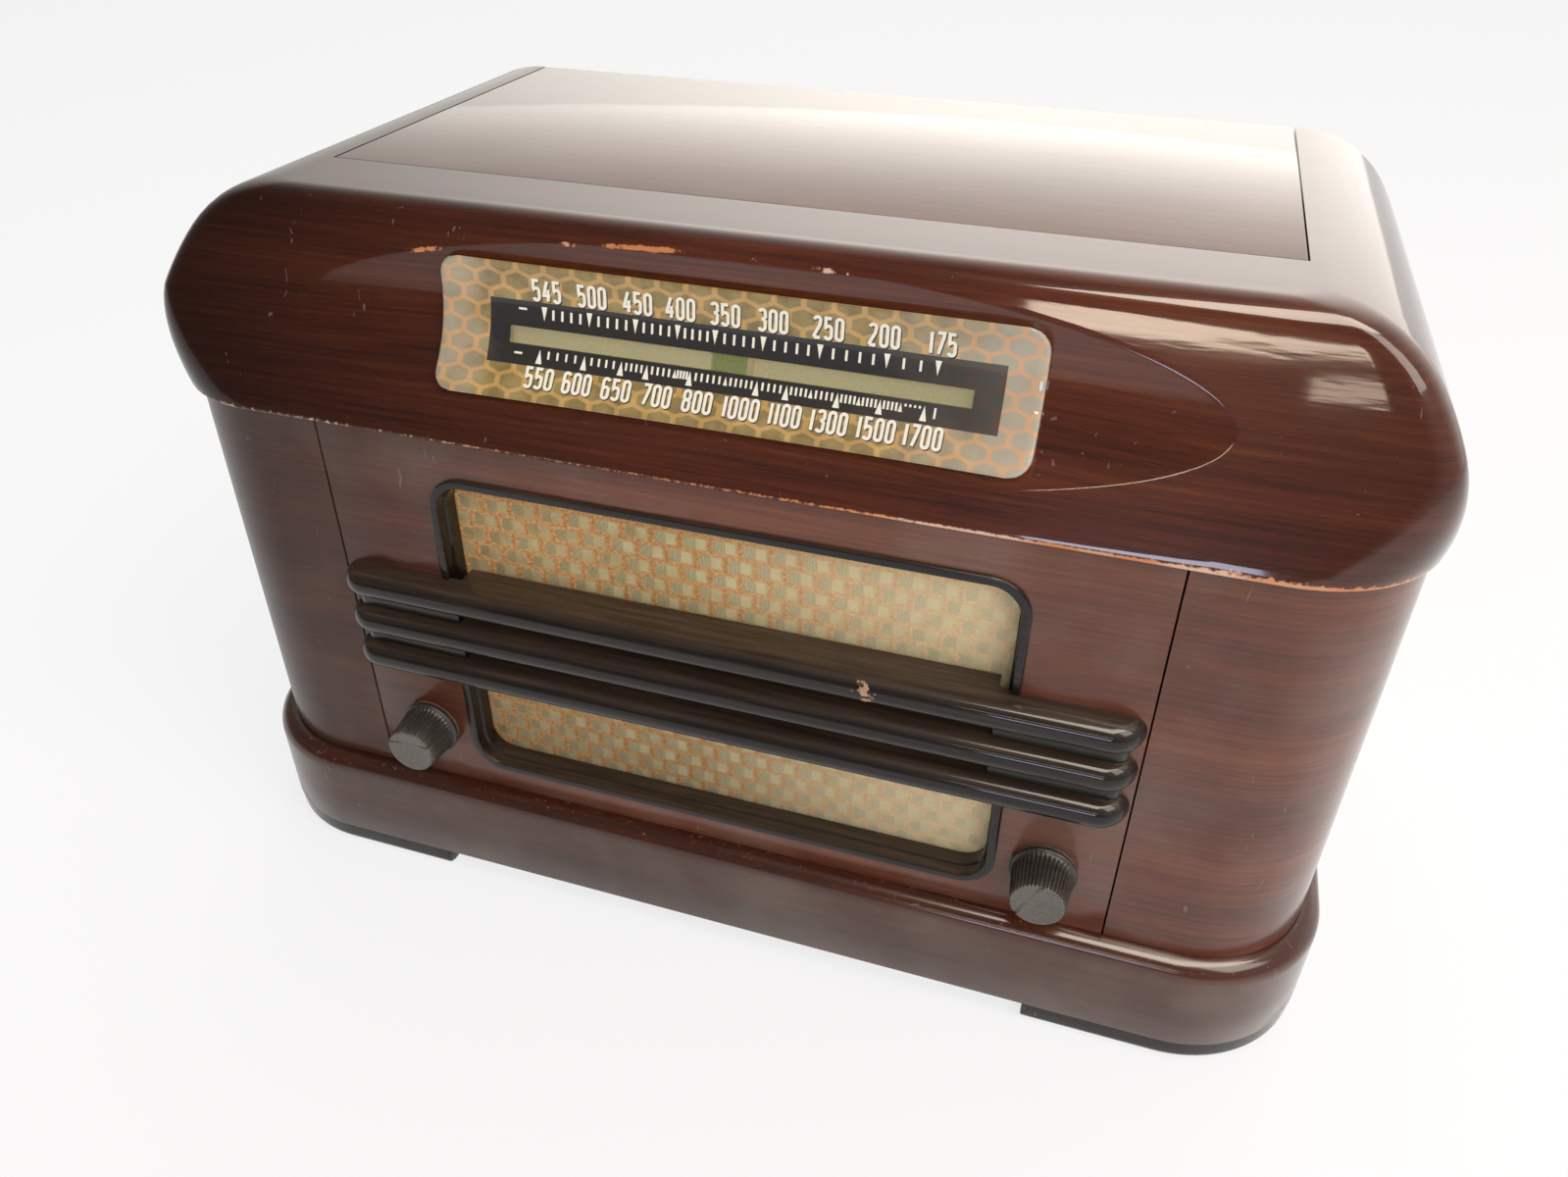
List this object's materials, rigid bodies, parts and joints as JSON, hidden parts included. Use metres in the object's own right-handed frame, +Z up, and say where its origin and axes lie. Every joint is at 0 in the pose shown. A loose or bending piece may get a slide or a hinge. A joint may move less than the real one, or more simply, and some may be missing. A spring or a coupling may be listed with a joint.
{
  "type": "table radio",
  "caption": "Wooden table radio with a carved lens-shaped dial recess, a cloth grille crossed by three bars, two fluted knobs and a stepped plinth on feet.",
  "frame": {"origin": "on the table, under the middle of the radio's bounding box", "axes": "+X to the radio's left-to-right as seen from its front, +Y from the front to the back, +Z up"},
  "size_m": [0.3912, 0.211, 0.2444],
  "materials": {
    "lacquered_wood": "high gloss",
    "black_lacquered_wood": "high gloss",
    "raw_wood": "raw",
    "pressed_board": "matt",
    "grille_cloth": "woven",
    "dial_glass": "printed, glossy",
    "pale_dial_paint": "satin",
    "needle_red": "satin",
    "plated_steel": "satin",
    "cast_frame": "satin",
    "brass": "satin",
    "dial_cord": "waxed braid",
    "knob_plastic": "satin",
    "felt": "felt",
    "socket_wafer": "matt",
    "tube_glass": "clear",
    "speaker_steel": "satin",
    "cone_paper": "matt",
    "magnet_iron": "satin",
    "rubber": "matt",
    "aerial_wire": "enamelled wire",
    "lamp_glass": "clear",
    "transformer_iron": "varnished"
  },
  "bodies": {
    "cabinet": {"side_left": "lacquered_wood", "side_right": "lacquered_wood", "front_panel": "lacquered_wood", "hood": "lacquered_wood", "top_panel": "lacquered_wood", "plinth": "lacquered_wood", "foot_left": "black_lacquered_wood", "foot_right": "black_lacquered_wood", "grille_trim": "black_lacquered_wood", "grille_bar_upper": "black_lacquered_wood", "grille_bar_middle": "black_lacquered_wood", "grille_bar_lower": "black_lacquered_wood", "bar_fillers": "black_lacquered_wood", "base_board": "raw_wood", "seam_blocks": "raw_wood", "back_cleats": "raw_wood", "baffle_board": "raw_wood", "back_cover": "pressed_board", "grille_cloth": "grille_cloth", "dial_glass": "dial_glass", "dial_backplate": "pale_dial_paint", "dial_screws": "plated_steel", "pointer_rail": "plated_steel", "volume_control": "plated_steel", "chassis_pan": "plated_steel", "chassis_bolts": "plated_steel", "speaker_screws": "plated_steel", "gang_frame": "cast_frame", "gang_stators": "cast_frame", "input_if_can": "cast_frame", "output_if_can": "cast_frame", "filter_capacitor": "cast_frame", "tuning_bushing": "brass", "cover_screws": "brass", "dial_cord": "dial_cord", "knob_felts": "felt", "speaker_gasket": "felt", "cone_surround": "felt", "tube_sockets": "socket_wafer", "converter_tube": "tube_glass", "if_tube": "tube_glass", "detector_tube": "tube_glass", "output_tube": "tube_glass", "rectifier_tube": "tube_glass", "speaker_basket": "speaker_steel", "speaker_magnet": "magnet_iron", "cord_grommet": "rubber", "loop_aerial": "aerial_wire", "dial_lamps": "lamp_glass", "output_transformer": "transformer_iron"},
    "condenser_rotor": {"gang_rotor": "cast_frame", "dial_drum": "plated_steel"},
    "pointer": {"dial_pointer": "needle_red"},
    "left_pulley": {"pulley_left": "brass"},
    "right_pulley": {"pulley_right": "brass"},
    "tuning_control": {"tuning_shaft": "plated_steel", "tuning_knob": "knob_plastic"},
    "volume_spindle": {"volume_shaft": "plated_steel", "volume_knob": "knob_plastic"},
    "cone": {"speaker_cone": "cone_paper"}
  },
  "joints": [
    {"name": "gang_turn", "type": "hinge", "parent": "cabinet", "child": "condenser_rotor", "pos_m": [0.076, -0.0435, 0.106], "axis": [0, -1, 0], "range_deg": [-99.5, 80.5]},
    {"name": "pointer_slide", "type": "slide", "parent": "cabinet", "child": "pointer", "axis": [1, 0, 0], "range_m": [-0.06262, 0.05068]},
    {"name": "tuning_turn", "type": "hinge", "parent": "cabinet", "child": "tuning_control", "pos_m": [0.107, -0.0695, 0.0664], "axis": [0, 1, 0], "range_deg": [-988.3, 799.6]},
    {"name": "left_pulley_turn", "type": "hinge", "parent": "cabinet", "child": "left_pulley", "pos_m": [-0.078, -0.0435, 0.216], "axis": [0, 1, 0], "range_deg": [-511.9, 414.2]},
    {"name": "right_pulley_turn", "type": "hinge", "parent": "cabinet", "child": "right_pulley", "pos_m": [0.124, -0.0435, 0.216], "axis": [0, 1, 0], "range_deg": [-511.9, 414.2]},
    {"name": "volume_turn", "type": "hinge", "parent": "cabinet", "child": "volume_spindle", "pos_m": [-0.107, -0.0695, 0.0664], "axis": [0, 1, 0], "range_deg": [-150, 150]},
    {"name": "cone_stroke", "type": "slide", "parent": "cabinet", "child": "cone", "axis": [0, 1, 0], "range_m": [-0.001, 0.001], "stiffness_N_per_m": 2500}
  ],
  "couplings": [
    {"joint": "pointer_slide", "follows": "gang_turn", "m_per_rad": 0.036},
    {"joint": "tuning_turn", "follows": "gang_turn", "ratio": 9.931},
    {"joint": "left_pulley_turn", "follows": "gang_turn", "ratio": 5.1429},
    {"joint": "right_pulley_turn", "follows": "gang_turn", "ratio": 5.1429}
  ]
}
